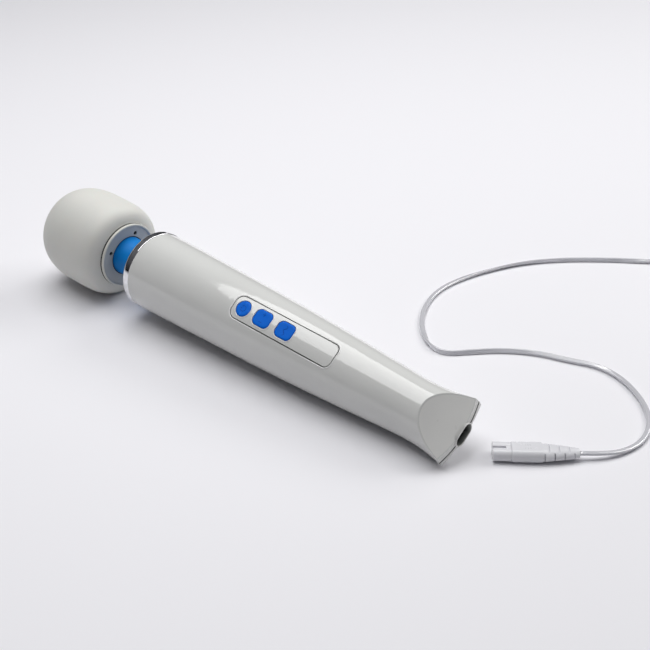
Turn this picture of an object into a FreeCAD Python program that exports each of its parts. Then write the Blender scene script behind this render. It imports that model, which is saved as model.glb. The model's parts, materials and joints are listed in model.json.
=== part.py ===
import FreeCAD, Part
import math
import os
import Sketcher
from FreeCAD import Placement, Rotation, Vector

# Handheld wand massager lying on a table, with its detached charging lead.
#
# The wand is drawn in its own frame: +X runs along its axis from the front of the head (x = 0) to the
# tail, +Z points out of the buttons, +Y to the side. "lie" then lays it down: head and tail touch the
# table (z = 0), the tail is a little lower, and the wand is rolled towards -Y. The row's origin is the
# bottom centre of the wand's own bounding box.

# ---------------------------------------------------------------- driving dimensions (mm, degrees)
SIZES = [
    # how the wand lies
    ("lie_tilt", 2.837), ("lie_roll", 38.5), ("origin_along", 164.6),
    ("axis_height", 31.205), ("head_widest", 33.0),
    # head
    ("head_radius", 30.7), ("cap_back", 62.0), ("plate_radius", 20.8), ("plate_front", 58.0),
    ("plate_face", 63.2), ("plate_rim", 63.8), ("housing_front", 9.0), ("housing_radius", 20.4),
    ("housing_wall", 2.4), ("screw_circle", 15.0), ("screw_turn", -27.0),
    ("bearing_outer", 8.0), ("bearing_width", 6.0), ("bearing_front", 12.4), ("bearing_rear", 50.0),
    ("eccentric_radius", 2.5), ("weight_radius", 13.0), ("weight_start", 27.0), ("weight_length", 16.0),
    # neck
    ("neck_start", 62.6), ("neck_end", 92.0), ("neck_radius", 12.3), ("neck_waist", 11.3),
    ("neck_wall", 1.8), ("neck_centre", 74.5), ("spring_radius", 3.2),
    # chrome collar
    ("collar_front", 85.0), ("collar_radius", 24.6), ("casing_front", 91.4), ("collar_bore", 12.9),
    # handle casing
    ("wall", 2.2), ("parting", -1.5), ("cavity_end", 303.0),
    ("tail_end", 329.4), ("tail_half_width", 19.65), ("tail_bulge", 3.0), ("lip", 0.4),
    ("facet_start", 307.5), ("facet_height", 18.0), ("facet_foot", 1.7), ("facet_hollow", 1.0),
    ("facet_plate", 1.2), ("facet_edge", 0.9), ("belly_start", 310.0), ("belly_depth", -17.5),
    ("belly_edge", -2.7), ("belly_hollow", 0.8),
    # control panel and buttons
    ("panel_start", 174.0), ("panel_end", 249.0), ("panel_width", 13.9), ("panel_corner", 4.2),
    ("panel_gap", 0.6), ("panel_slope", 1.96), ("button_level", 20.9),
    ("button_clearance", 0.25), ("button_proud", 0.6), ("button_edge", 0.8),
    ("power_at", 181.2), ("level_at", 196.1), ("pattern_at", 213.1), ("power_radius", 4.75),
    ("button_length", 11.9), ("button_width", 9.7), ("button_corner", 3.2),
    # motor, battery and electronics
    ("motor_start", 100.0), ("motor_length", 42.0), ("motor_radius", 16.0), ("motor_wall", 2.0),
    ("armature_radius", 12.5), ("shaft_radius", 1.6), ("running_gap", 0.05), ("hub_radius", 4.0),
    ("cell_start", 149.6), ("cell_length", 65.0), ("cell_radius", 9.1), ("cell_height", -1.6),
    ("board_start", 150.0), ("board_end", 252.0), ("board_width", 24.0), ("board_height", 9.0),
    ("board_thickness", 1.6), ("switch_height", 1.6),
    # charging inlet
    ("inlet_height", -1.5), ("inlet_width", 13.0), ("inlet_tall", 7.2), ("inlet_wall", 0.7),
    ("inlet_back", 301.0), ("inlet_floor", 315.0), ("inlet_mouth", 329.1), ("pin_radius", 1.1),
    ("pin_spacing", 6.4), ("pin_start", 309.0), ("pin_end", 324.0),
    # charging lead
    ("lead_x", 174.4), ("lead_y", 13.2), ("lead_height", 3.6), ("lead_turn", 40.35),
    ("insert_length", 9.5), ("insert_width", 12.8), ("insert_tall", 6.7), ("bore_radius", 1.2),
    ("bore_depth", 8.0), ("waist_slot", 1.7), ("shell_length", 16.2), ("shell_width", 13.6),
    ("shell_tall", 7.2), ("relief_length", 19.5), ("relief_width", 6.6), ("relief_tall", 4.4),
    ("notch_start", 0.7), ("notch_pitch", 5.25), ("notch_width", 0.8), ("notch_shift", 2.4),
    ("cord_radius", 1.6),
    ("coil_x", 160.6), ("coil_y", 277.9), ("coil_inner", 14.9), ("coil_outer", 21.3), ("coil_tall", 12.8),
    ("adapter_length", 44.0), ("adapter_width", 30.0), ("adapter_tall", 22.0), ("adapter_relief", 14.0),
]

# Handle stations: distance from the head's front, half-width and half-height of the elliptical section.
HANDLE_SECTIONS = [
    (91.4, 24.3, 24.3), (112.0, 24.1, 24.1), (133.0, 23.6, 23.6), (175.0, 22.5, 22.5),
    (217.0, 21.15, 21.15), (258.0, 19.05, 19.05), (284.0, 17.5, 17.5), (301.0, 16.8, 16.75),
    (313.0, 17.4, 16.9), (324.0, 19.1, 17.2), (334.0, 21.0, 17.6),
]

# The lead's route from its strain relief to the coil, and from the coil to the adapter, chosen by hand.
LEAD_ROUTE = [
    (208.8, 42.5, 3.6), (216.0, 48.6, 3.6), (223.2, 59.5, 2.2), (226.4, 74.0, 1.6), (223.0, 90.0, 1.6),
    (213.6, 104.5, 1.6), (199.0, 117.0, 1.6), (182.5, 125.5, 1.6), (166.5, 127.5, 1.6),
    (150.0, 120.8, 1.6), (133.0, 116.0, 1.6), (115.5, 104.5, 1.6), (101.8, 89.0, 1.6),
    (93.5, 79.0, 1.6), (83.5, 77.6, 1.6), (73.0, 83.5, 1.6), (58.5, 97.0, 1.6), (46.5, 116.0, 1.6),
    (39.6, 138.0, 1.6), (40.8, 161.0, 1.6), (47.5, 185.0, 1.6), (58.5, 209.5, 1.6), (75.5, 230.5, 1.6),
    (96.5, 249.5, 1.6), (120.5, 268.0, 1.6), (142.9, 289.8, 1.6),
]
TAIL_ROUTE = [(176.5, 291.0, 11.2), (184.5, 281.5, 10.8), (193.5, 273.8, 11.0), (200.5, 263.0, 11.0)]

# Each button with the alias of its place along the handle.
BUTTONS = [("power", "power_at"), ("level", "level_at"), ("pattern", "pattern_at")]

# The turns of the back plate's screws round the wand, from the first one, in degrees.
SCREW_TURNS = [0, 90, 225]

# The screws that hold the two shells together: (along, across).
SHELL_SCREWS = [(145.2, -13.5), (145.2, 13.5), (272.0, -9.0), (272.0, 9.0)]
BOSS_RADIUS = 2.6
BOSS_GAP = 0.12

doc = FreeCAD.newDocument("wand_massager")
sheet = doc.addObject("Spreadsheet::Sheet", "sizes")
for row, (alias, value) in enumerate(SIZES, start=1):
    sheet.set(f"A{row}", alias)
    sheet.set(f"B{row}", str(value))
    sheet.setAlias(f"B{row}", alias)
doc.recompute()


class Length:
    """A number together with the expression that binds it to the sheet."""

    def __init__(self, text, value):
        self.text = text
        self.value = float(value)

    def joined(self, sign, other, result):
        return Length(f"({self.text} {sign} {as_length(other).text})", result)

    def __add__(self, other):
        return self.joined("+", other, self.value + as_length(other).value)

    def __sub__(self, other):
        return self.joined("-", other, self.value - as_length(other).value)

    def __mul__(self, other):
        return self.joined("*", other, self.value * as_length(other).value)

    def __truediv__(self, other):
        return self.joined("/", other, self.value / as_length(other).value)


def as_length(number):
    return number if isinstance(number, Length) else Length(f"{number:.6f}", number)


class Sizes:
    """The sheet's cells as Lengths, by alias."""

    def __getattr__(self, alias):
        return Length(f"sizes.{alias}", sheet.get(alias))


s = Sizes()


def bind(thing, **lengths):
    for name, length in lengths.items():
        thing.setExpression(name, as_length(length).text)
    return thing


def move(thing, x=0, y=0, z=0):
    for axis, length in (("x", x), ("y", y), ("z", z)):
        thing.setExpression(f"Placement.Base.{axis}", as_length(length).text)
    return thing


# ---------------------------------------------------------------- placements
ALONG_X = Rotation(Vector(0, 1, 0), 90)
SECTION = Rotation(Vector(0, 1, 0), Vector(0, 0, 1), Vector(1, 0, 0), "XYZ")

tilt = math.radians(s.lie_tilt.value)
lie = Placement(
    Vector(-s.origin_along.value * math.cos(tilt), 0,
           s.axis_height.value + s.head_widest.value * math.sin(tilt)),
    Rotation(Vector(0, 1, 0), s.lie_tilt.value) * Rotation(Vector(1, 0, 0), s.lie_roll.value))
lead_place = Placement(Vector(s.lead_x.value, s.lead_y.value, s.lead_height.value),
                       Rotation(Vector(0, 0, 1), s.lead_turn.value))
adapter_run = Vector(*TAIL_ROUTE[-1]) - Vector(*TAIL_ROUTE[-2])
adapter_place = Placement(Vector(TAIL_ROUTE[-1][0], TAIL_ROUTE[-1][1], 0),
                          Rotation(Vector(0, 0, 1), math.degrees(math.atan2(adapter_run.y, adapter_run.x))))

NODES = []


def node(thing, label, place=lie):
    """Name a finished sub-part, put it in its place and list it for export."""
    thing.Label = label
    thing.Placement = place
    NODES.append(thing)
    return thing


# ---------------------------------------------------------------- building blocks
def origin_plane(body, role):
    return next(plane for plane in body.Origin.OriginFeatures if plane.Role == role)


def sketch_on(body, role):
    sketch = body.newObject("Sketcher::SketchObject", body.Name + "_outline")
    sketch.AttachmentSupport = [(origin_plane(body, role), "")]
    sketch.MapMode = "FlatFace"
    return sketch


def add_outline(sketch, corners):
    """A closed outline of straight sides, each corner bound to the sheet."""
    points = [Vector(as_length(x).value, as_length(y).value, 0) for x, y in corners]
    count = len(points)
    first = sketch.GeometryCount
    for index in range(count):
        sketch.addGeometry(Part.LineSegment(points[index], points[(index + 1) % count]), False)
    for index in range(count):
        following = first + (index + 1) % count
        sketch.addConstraint(Sketcher.Constraint("Coincident", first + index, 2, following, 1))
    for index, (x, y) in enumerate(corners):
        for kind, length in (("DistanceX", as_length(x)), ("DistanceY", as_length(y))):
            number = sketch.addConstraint(
                Sketcher.Constraint(kind, -1, 1, first + index, 1, length.value))
            sketch.setExpression(f"Constraints[{number}]", length.text)


def turned(name, *outlines):
    """A body turned about the wand's axis: outlines of (along, radius) corners."""
    body = doc.addObject("PartDesign::Body", name)
    sketch = sketch_on(body, "XZ_Plane")
    for corners in outlines:
        add_outline(sketch, corners)
    turn = body.newObject("PartDesign::Revolution", name + "_turned")
    turn.Profile = sketch
    turn.ReferenceAxis = (sketch, ["H_Axis"])
    turn.Angle = 360
    doc.recompute()
    return body


def straight_edges(shape, direction):
    """Names of the edges that are straight and run along a direction."""
    names = []
    for number, edge in enumerate(shape.Edges, start=1):
        if edge.Curve.TypeId != "Part::GeomLine":
            continue
        if abs(abs(edge.Curve.Direction.dot(direction)) - 1) < 1e-6:
            names.append(f"Edge{number}")
    return names


def edges_at(shape, height):
    """Names of the edges that lie wholly at one height."""
    return [f"Edge{number}" for number, edge in enumerate(shape.Edges, start=1)
            if abs(edge.BoundBox.ZMin - height) < 1e-4 and abs(edge.BoundBox.ZMax - height) < 1e-4]


def fillet(body, edges, radius):
    rounding = body.newObject("PartDesign::Fillet", body.Name + "_fillet")
    rounding.Base = (body.Tip if body.Tip != rounding else rounding.BaseFeature, edges)
    bind(rounding, Radius=radius)
    body.Tip = rounding
    doc.recompute()
    return rounding


def block(name, length, width, bottom, top, corner=None):
    """A body padded along Z from a rectangle centred on its origin, with rounded upright edges."""
    body = doc.addObject("PartDesign::Body", name)
    sketch = sketch_on(body, "XY_Plane")
    half_x = as_length(length) / 2
    half_y = as_length(width) / 2
    minus_x = as_length(length) / -2
    minus_y = as_length(width) / -2
    add_outline(sketch, [(minus_x, minus_y), (half_x, minus_y), (half_x, half_y), (minus_x, half_y)])
    bind(sketch, **{"AttachmentOffset.Base.z": bottom})
    pad = body.newObject("PartDesign::Pad", name + "_pad")
    pad.Profile = sketch
    bind(pad, Length=as_length(top) - bottom)
    doc.recompute()
    if corner is not None:
        body.Tip = pad
        fillet(body, straight_edges(pad.Shape, Vector(0, 0, 1)), corner)
    return body


def rod(name, x, y, z, radius, length, rotation=ALONG_X):
    """A round bar from a point, along the wand unless turned otherwise."""
    bar = doc.addObject("Part::Cylinder", name)
    bar.Placement.Rotation = rotation
    move(bar, x, y, z)
    return bind(bar, Radius=radius, Height=length)


def brick(name, x, y, z, length, width, height):
    """A box from its lowest corner."""
    box = doc.addObject("Part::Box", name)
    move(box, x, y, z)
    return bind(box, Length=length, Width=width, Height=height)


def cut(name, base, *tools):
    for number, tool in enumerate(tools, start=1):
        result = doc.addObject("Part::Cut", f"{name}_{number}")
        result.Base = base
        result.Tool = tool
        base = result
    return base


def common(name, base, tool):
    result = doc.addObject("Part::Common", name)
    result.Base = base
    result.Tool = tool
    return result


def fuse(name, *shapes):
    result = doc.addObject("Part::MultiFuse", name)
    result.Shapes = list(shapes)
    result.Refine = True
    return result


def group(name, *solids):
    """Identical or loose pieces that share one node as separate solids."""
    result = doc.addObject("Part::Compound", name)
    result.Links = list(solids)
    return result


def stadium(name, x, z, width, tall, length):
    """A flat-sided round-ended bar along the wand's axis."""
    half_gap = (as_length(width) - tall) / 2
    radius = as_length(tall) / 2
    middle = brick(name + "_middle", x, half_gap * -1, as_length(z) - radius, length, half_gap * 2, tall)
    ends = [rod(f"{name}_end_{side}", x, half_gap * side, z, radius, length) for side in (-1, 1)]
    return fuse(name, middle, *ends)


def handle_loft(name, inset, stations, ends=None):
    """The handle's outer form, or the same form drawn in by a wall."""
    sections = []
    for number, (x, half_width, half_height) in enumerate(stations, start=1):
        ring = doc.addObject("Part::Ellipse", f"{name}_section_{number}")
        ring.Placement = Placement(Vector(x, 0, 0), SECTION)
        bind(ring, MajorRadius=as_length(half_width) - inset, MinorRadius=as_length(half_height) - inset)
        sections.append(ring)
    if ends is not None:
        move(sections[0], ends[0])
        move(sections[-1], ends[1])
    loft = doc.addObject("Part::Loft", name)
    loft.Sections = sections
    loft.Solid = True
    loft.Ruled = False
    return loft


def chord_roller(name, start, end, hollow):
    """A crosswise cylinder whose side cuts a shallow hollow face between two points (x, z)."""
    chord = Vector(end[0] - start[0], 0, end[1] - start[1])
    radius = (chord.Length ** 2 / 4 + hollow ** 2) / (2 * hollow)
    outward = Vector(-chord.z, 0, chord.x).normalize()
    if outward.x < 0:
        outward = outward * -1
    middle = Vector((start[0] + end[0]) / 2, 0, (start[1] + end[1]) / 2)
    centre = middle + outward * (radius - hollow)
    roller = doc.addObject("Part::Cylinder", name)
    roller.Placement = Placement(centre - Vector(0, 40, 0), Rotation(Vector(1, 0, 0), -90))
    roller.Radius = radius
    roller.Height = 80
    return roller


def rounded_path(points):
    """Straight runs joined by tangent arcs, each as large as its two runs allow."""
    corners = [Vector(*point) for point in points]
    edges = []
    start = corners[0]
    radii = []
    for before, here, after in zip(corners, corners[1:], corners[2:]):
        run_in = here - before
        run_out = after - here
        reach = 0.45 * min(run_in.Length, run_out.Length)
        half_turn = run_in.getAngle(run_out) / 2
        radii.append(reach / math.tan(half_turn))
        unit_in = Vector(run_in).normalize()
        unit_out = Vector(run_out).normalize()
        arc_start = here - unit_in * reach
        arc_end = here + unit_out * reach
        toward = (unit_out - unit_in).normalize()
        middle = here + toward * (radii[-1] / math.cos(half_turn) - radii[-1])
        edges.append(Part.LineSegment(start, arc_start).toShape())
        edges.append(Part.Arc(arc_start, middle, arc_end).toShape())
        start = arc_end
    edges.append(Part.LineSegment(start, corners[-1]).toShape())
    return Part.Wire(edges), radii


def tube(name, points, radius):
    """A round cord along a rounded path."""
    path, radii = rounded_path(points)
    heading = Vector(*points[1]) - Vector(*points[0])
    section = Part.Wire(Part.makeCircle(radius, Vector(*points[0]), heading))
    solid = path.makePipeShell([section], True, False)
    expected = math.pi * radius ** 2 * path.Length
    print(name, "length", round(path.Length, 1), "volume ratio", round(solid.Volume / expected, 4),
          "radii", [round(bend, 1) for bend in radii])
    feature = doc.addObject("Part::Feature", name)
    feature.Shape = solid
    return feature


# ---------------------------------------------------------------- head
def head_outline(radius, back, widest):
    """Half outline of the silicone cap: a full dome in front and a squarer shoulder behind."""
    front_power = 2.75
    back_power = 5.1
    points = []
    for step in range(13):
        angle = math.pi / 2 * step / 12
        points.append(Vector(widest - widest * math.cos(angle) ** (2 / front_power), 0,
                             radius * math.sin(angle) ** (2 / front_power)))
    for step in range(1, 10):
        angle = math.pi / 2 * step / 12
        points.append(Vector(widest + (back - widest) * math.sin(angle) ** (2 / back_power), 0,
                             radius * math.cos(angle) ** (2 / back_power)))
    return points


def build_head_cap():
    radius = s.head_radius.value
    back = s.cap_back.value
    widest = s.head_widest.value
    outline = head_outline(radius, back, widest)
    curve = Part.BSplineCurve()
    curve.interpolate(outline)
    inner = s.housing_radius.value
    end = outline[-1]
    floor = s.housing_front.value
    rim = s.plate_radius.value
    plate = s.plate_front.value
    corners = [end, Vector(end.x + 0.3, 0, rim), Vector(plate, 0, rim), Vector(plate, 0, inner),
               Vector(floor, 0, inner), Vector(floor, 0, 0), outline[0]]
    edges = [curve.toShape()]
    for here, after in zip(corners, corners[1:]):
        edges.append(Part.LineSegment(here, after).toShape())
    face = Part.Face(Part.Wire(edges))
    cap = doc.addObject("Part::Feature", "head_cap")
    cap.Shape = face.revolve(Vector(0, 0, 0), Vector(1, 0, 0), 360)
    return node(cap, "head_cap")


def build_head_housing():
    front = s.housing_front
    seat = s.bearing_front + s.bearing_width
    boss = s.bearing_outer + 2.4
    outline = [(front, 0), (front, s.housing_radius), (s.plate_front, s.housing_radius),
               (s.plate_front, s.housing_radius - s.housing_wall),
               (front + s.housing_wall, s.housing_radius - s.housing_wall),
               (front + s.housing_wall, boss), (seat, boss), (seat, s.bearing_outer),
               (s.bearing_front, s.bearing_outer), (s.bearing_front, 0)]
    return node(turned("head_housing", outline), "head_housing")


def build_head_back_plate():
    boss = s.bearing_outer + 2.4
    disc = turned("back_plate_disc", [
        (s.bearing_rear, s.bearing_outer), (s.bearing_rear, boss), (s.plate_front, boss),
        (s.plate_front, s.plate_radius), (s.plate_rim - 0.7, s.plate_radius),
        (s.plate_rim - 0.2, s.plate_radius - 0.2), (s.plate_rim, s.plate_radius - 0.7),
        (s.plate_rim - 0.1, s.plate_radius - 1.3), (s.plate_face, s.plate_radius - 1.7),
        (s.plate_face, s.neck_radius + 0.6), (s.neck_start - 0.3, s.neck_radius + 0.5),
        (s.neck_start - 0.3, 9.8), (66.0, 9.8),
        (66.0, 8.0)])
    holes = []
    for number, turn in enumerate(SCREW_TURNS):
        angle = math.radians(s.screw_turn.value + turn)
        y = s.screw_circle * math.sin(angle)
        z = s.screw_circle * math.cos(angle)
        holes.append(rod(f"plate_bore_{number}", s.plate_front - 1, y, z, 1.0, 8))
        holes.append(rod(f"plate_recess_{number}", s.plate_face - 1.9, y, z, 1.3, 8))
    return node(cut("head_back_plate", disc, *holes), "head_back_plate")


def build_head_screws():
    screws = []
    for number, turn in enumerate(SCREW_TURNS):
        angle = math.radians(s.screw_turn.value + turn)
        y = s.screw_circle * math.sin(angle)
        z = s.screw_circle * math.cos(angle)
        seat = s.plate_face - 1.9
        shank = rod(f"head_screw_shank_{number}", s.plate_front - 6, y, z, 0.9, seat + 6 - s.plate_front)
        cap = rod(f"head_screw_cap_{number}", seat, y, z, 1.15, 1.2)
        slot = brick(f"head_screw_slot_{number}", seat + 0.7, y - 1.2, z - 0.2, 1, 2.4, 0.4)
        screws.append(cut(f"head_screw_{number}", fuse(f"head_screw_form_{number}", shank, cap), slot))
    return node(group("head_screws", *screws), "head_screws")


def build_head_bearings():
    rings = []
    for name, start in (("front", s.bearing_front), ("rear", s.bearing_rear)):
        inner = s.eccentric_radius + s.running_gap
        end = start + s.bearing_width
        rings.append(turned(f"bearing_{name}", [(start, inner), (start, s.bearing_outer),
                                                (end, s.bearing_outer), (end, inner)]))
    return node(group("head_bearings", *rings), "head_bearings")


def build_eccentric():
    radius = s.eccentric_radius
    shaft_start = s.bearing_front + 0.6
    shaft = turned("eccentric_shaft", [(shaft_start, 0), (shaft_start, radius), (66.0, radius),
                                       (66.0, s.spring_radius), (70.0, s.spring_radius), (70.0, 0)])
    node(shaft, "eccentric_shaft")
    disc = rod("weight_disc", s.weight_start, 0, 0, s.weight_radius, s.weight_length)
    missing = brick("weight_missing_half", s.weight_start - 1, -20, 2, s.weight_length + 2, 40, 20)
    hub = rod("weight_hub", s.weight_start, 0, 0, radius + 2.6, s.weight_length)
    bore = rod("weight_bore", s.weight_start - 1, 0, 0, radius, s.weight_length + 2)
    half = cut("weight_half", disc, missing)
    node(cut("eccentric_weight", fuse("weight_form", half, hub), bore), "eccentric_weight")


# ---------------------------------------------------------------- neck
def build_neck():
    outer = s.neck_radius
    waist = s.neck_waist
    wall = s.neck_wall
    start = s.neck_start
    end = s.neck_end
    node(turned("neck_sleeve", [
        (start, outer - wall), (start, outer), (start + 3.4, outer - 0.35), (start + 8, waist + 0.1),
        (s.neck_centre, waist), (s.neck_centre + 4, waist + 0.15), (end - 7.6, outer - 0.5),
        (end - 2.4, outer), (end - 2.4, outer + 2.4), (end, outer + 2.4), (end, outer - wall),
        (end - 7.6, outer - wall - 0.5), (s.neck_centre + 4, waist - wall + 0.15),
        (s.neck_centre, waist - wall), (start + 8, waist - wall + 0.1)]), "neck_sleeve")
    core_outer = waist - wall - 0.3
    node(turned("neck_core", [(s.neck_centre - 2.5, core_outer - 2.2), (s.neck_centre - 2.5, core_outer),
                              (s.neck_centre + 2.5, core_outer),
                              (s.neck_centre + 2.5, core_outer - 2.2)]), "neck_core")
    node(turned("drive_spring", [(70.0, s.spring_radius - 1.4), (70.0, s.spring_radius),
                                 (82.0, s.spring_radius), (82.0, s.spring_radius - 1.4)]), "drive_spring")
    node(turned("neck_mount", [(82.0, 8.2), (82.0, 9.6), (93.0, 9.6), (93.0, 19.8), (98.6, 19.8),
                               (98.6, 21.2), (99.6, 21.2), (99.6, 8.2)]), "neck_mount")


def build_collar():
    front = s.collar_front
    radius = s.collar_radius
    casing = s.casing_front
    body = turned("chrome_collar", [
        (front + 0.9, s.collar_bore), (front, s.collar_bore + 1.2), (front, radius - 2.6),
        (front + 0.5, radius - 1.2), (front + 1.8, radius - 0.25), (front + 3.6, radius),
        (casing - 0.5, radius), (casing, radius - 0.4), (casing, 21.6), (casing + 6.0, 21.6),
        (casing + 6.0, 20.0), (front + 4.4, 20.0), (front + 4.4, s.collar_bore)])
    return node(body, "chrome_collar")


# ---------------------------------------------------------------- handle casing
def tail_plan(name, back_off):
    """Everything in front of the tail's end, which bulges outwards between its two corners."""
    half = s.tail_half_width.value
    bulge = s.tail_bulge.value
    radius = (half ** 2 + bulge ** 2) / (2 * bulge)
    centre = s.tail_end.value - back_off - radius
    end = rod(name + "_round", centre, 0, -40, radius, 80, Rotation())
    return fuse(name, end, brick(name + "_run", 80, -40, -40, centre - 80, 80, 80))


def facet_roller(name, sunk=0.0):
    """The cutter for the tail's upper facet, moved into the casing by a depth."""
    foot = (s.tail_end.value - s.lip.value, s.facet_foot.value)
    top = (s.facet_start.value, s.facet_height.value)
    roller = chord_roller(name, top, foot, s.facet_hollow.value)
    inward = Vector(top[1] - foot[1], 0, foot[0] - top[0]).normalize() * -sunk
    roller.Placement.Base = roller.Placement.Base + inward
    return roller


def fold_edges(shape, roller, end):
    """Numbers of the edges that lie on both the facet's cylinder and the tail end's."""
    numbers = []
    for number, edge in enumerate(shape.Edges, start=1):
        points = edge.discretize(5)
        on_facet = all(abs(math.hypot(point.x - roller.Placement.Base.x, point.z - roller.Placement.Base.z)
                           - roller.Radius.Value) < 0.01 for point in points)
        on_end = all(abs(math.hypot(point.x - end.Placement.Base.x, point.y) - end.Radius.Value) < 0.01
                     for point in points)
        if on_facet and on_end:
            numbers.append(number)
    return numbers


def build_tail_plate(front_outer, upper_half, shroud_hole):
    """The satin skin of the facet, turned down over the tail's end."""
    plate_form = handle_loft("plate_form", 0.8, HANDLE_SECTIONS[-5:])
    depth = s.facet_plate.value
    core = cut("plate_core", tail_plan("core_end", s.lip.value + depth), facet_roller("sunk_facet", depth))
    roller = facet_roller("plate_facet")
    block_cut = cut("plate_band", common("plate_block", plate_form, front_outer), roller)
    doc.recompute()
    folds = fold_edges(block_cut.Shape, roller, doc.getObject("front_end_round"))
    rounded = doc.addObject("Part::Fillet", "plate_rounded")
    rounded.Base = block_cut
    rounded.Edges = [(number, s.facet_edge.value, s.facet_edge.value) for number in folds]
    return cut("plate_trimmed", common("plate_upper", cut("plate_skin", rounded, core), upper_half),
               shroud_hole)


def build_casing():
    outer = handle_loft("casing_outer", 0, HANDLE_SECTIONS, (s.casing_front, 334.0))
    inner_stations = [station for station in HANDLE_SECTIONS if station[0] < 300] + [(303.0, 16.8, 16.7)]
    cavity = handle_loft("casing_cavity", s.wall, inner_stations, (s.casing_front, s.cavity_end))
    rear_outer = common("rear_plan", outer, tail_plan("rear_end", 0))
    front_outer = common("front_plan", outer, tail_plan("front_end", s.lip.value))
    upper_half = brick("upper_half", 80, -40, s.parting + BOSS_GAP, 270, 80, 60)
    lower_half = brick("lower_half", 80, -40, s.parting - 60, 270, 80, 60)
    shroud_hole = stadium("shroud_hole", s.inlet_back, s.inlet_height, s.inlet_width + s.inlet_wall * 2,
                          s.inlet_tall + s.inlet_wall * 2, s.tail_end + 6 - s.inlet_back)
    plate = build_tail_plate(front_outer, upper_half, shroud_hole)

    panel_hole = panel_prism("panel_hole", s.panel_gap, 10, 30)
    bosses = [rod(f"boss_{number}", x, y, s.parting + BOSS_GAP, BOSS_RADIUS, boss_height(x, y), Rotation())
              for number, (x, y) in enumerate(SHELL_SCREWS)]
    boss_bores = [rod(f"boss_bore_{number}", x, y, s.parting - 1, 0.95, 9, Rotation())
                  for number, (x, y) in enumerate(SHELL_SCREWS)]
    skin = cut("front_skin", front_outer, facet_roller("upper_facet"), cavity, shroud_hole, panel_hole)
    front = common("front_upper", skin, upper_half)
    node(cut("front_shell", fuse("front_with_bosses", front, *bosses), plate, *boss_bores), "front_shell")
    node(group("tail_plate", plate), "tail_plate")

    under_facet = chord_roller("under_facet", (s.belly_start.value, s.belly_depth.value),
                               (s.tail_end.value, s.belly_edge.value), s.belly_hollow.value)
    belly = cut("rear_skin", rear_outer, under_facet, cavity, shroud_hole)
    rear = common("rear_lower", belly, lower_half)
    posts = []
    drills = []
    for number, (x, y) in enumerate(SHELL_SCREWS):
        floor = -boss_height(x, y) - 1.0
        posts.append(rod(f"post_{number}", x, y, floor, BOSS_RADIUS, s.parting.value - floor, Rotation()))
        drills.append(rod(f"drill_{number}", x, y, -30, 1.25, 30, Rotation()))
        drills.append(rod(f"sink_{number}", x, y, -32, 2.2, 21.0, Rotation()))
    node(cut("rear_shell", fuse("rear_with_posts", rear, *posts), *drills), "rear_shell")


def casing_radius(x):
    """The casing's radius at a station, by straight lines between the sections."""
    for (x0, r0, _), (x1, r1, _) in zip(HANDLE_SECTIONS, HANDLE_SECTIONS[1:]):
        if x0 <= x <= x1:
            return r0 + (r1 - r0) * (x - x0) / (x1 - x0)
    return HANDLE_SECTIONS[-1][1]


def boss_height(x, y):
    """From the parting plane up into the casing's wall."""
    reach = casing_radius(x) - 1.2
    return math.sqrt(reach ** 2 - (abs(y) + BOSS_RADIUS) ** 2)


def build_shell_screws():
    screws = []
    for number, (x, y) in enumerate(SHELL_SCREWS):
        shank = rod(f"shell_screw_shank_{number}", x, y, -11.0, 0.95, 16, Rotation())
        cap = rod(f"shell_screw_cap_{number}", x, y, -12.4, 2.1, 1.4, Rotation())
        screws.append(fuse(f"shell_screw_{number}", shank, cap))
    node(group("shell_screws", *screws), "shell_screws")


# ---------------------------------------------------------------- control panel and buttons
def panel_middle():
    return (s.panel_start + s.panel_end) / 2


def panel_prism(name, grow, bottom, top):
    """The panel's rounded rectangle as an upright block at its place along the handle."""
    gap = as_length(grow)
    body = block(name, s.panel_end - s.panel_start + gap * 2, s.panel_width + gap * 2, bottom, top,
                 s.panel_corner + gap)
    return move(body, panel_middle())


def button_frame(at):
    """The frame of a button: on the panel's surface, leaning with the handle's taper."""
    middle = (s.panel_start.value + s.panel_end.value) / 2
    slope = s.panel_slope.value
    drop = (at - middle) * math.tan(math.radians(slope))
    return Placement(Vector(at, 0, s.button_level.value - drop), Rotation(Vector(0, 1, 0), slope))


def button_form(name, at, grow, bottom, top, wide=0.0):
    """A button's outline, grown by a clearance or by its retaining flange."""
    extra = as_length(grow) + wide
    if name.startswith("power"):
        body = doc.addObject("Part::Cylinder", name)
        bind(body, Radius=s.power_radius + extra, Height=as_length(top) - bottom)
        local = Placement(Vector(0, 0, as_length(bottom).value), Rotation())
    else:
        body = block(name, s.button_length + extra * 2, s.button_width + extra * 2, bottom, top,
                     s.button_corner + extra)
        local = Placement()
    body.Placement = button_frame(at) * local
    return body


def build_panel():
    outer = handle_loft("panel_outer", 0, HANDLE_SECTIONS[2:7])
    under = handle_loft("panel_under", s.wall, HANDLE_SECTIONS[1:8])
    panel_plan = panel_prism("panel_plan", 0, 12, 30)
    curved = common("panel_curved", outer, panel_plan)
    windows = [button_form(f"{name}_window", getattr(s, at).value, s.button_clearance, -8, 6)
               for name, at in BUTTONS]
    node(cut("control_panel", curved, under, *windows), "control_panel")

    seal_outer = handle_loft("seal_outer", 1.0, HANDLE_SECTIONS[2:7])
    seal_under = handle_loft("seal_under", s.wall, HANDLE_SECTIONS[1:8])
    seal_plan = panel_prism("seal_plan", s.panel_gap, 12, 30)
    seal_middle = panel_prism("seal_middle", 0, 11, 31)
    band = common("seal_band", seal_outer, seal_plan)
    node(cut("panel_seal", band, seal_under, seal_middle), "panel_seal")


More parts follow.
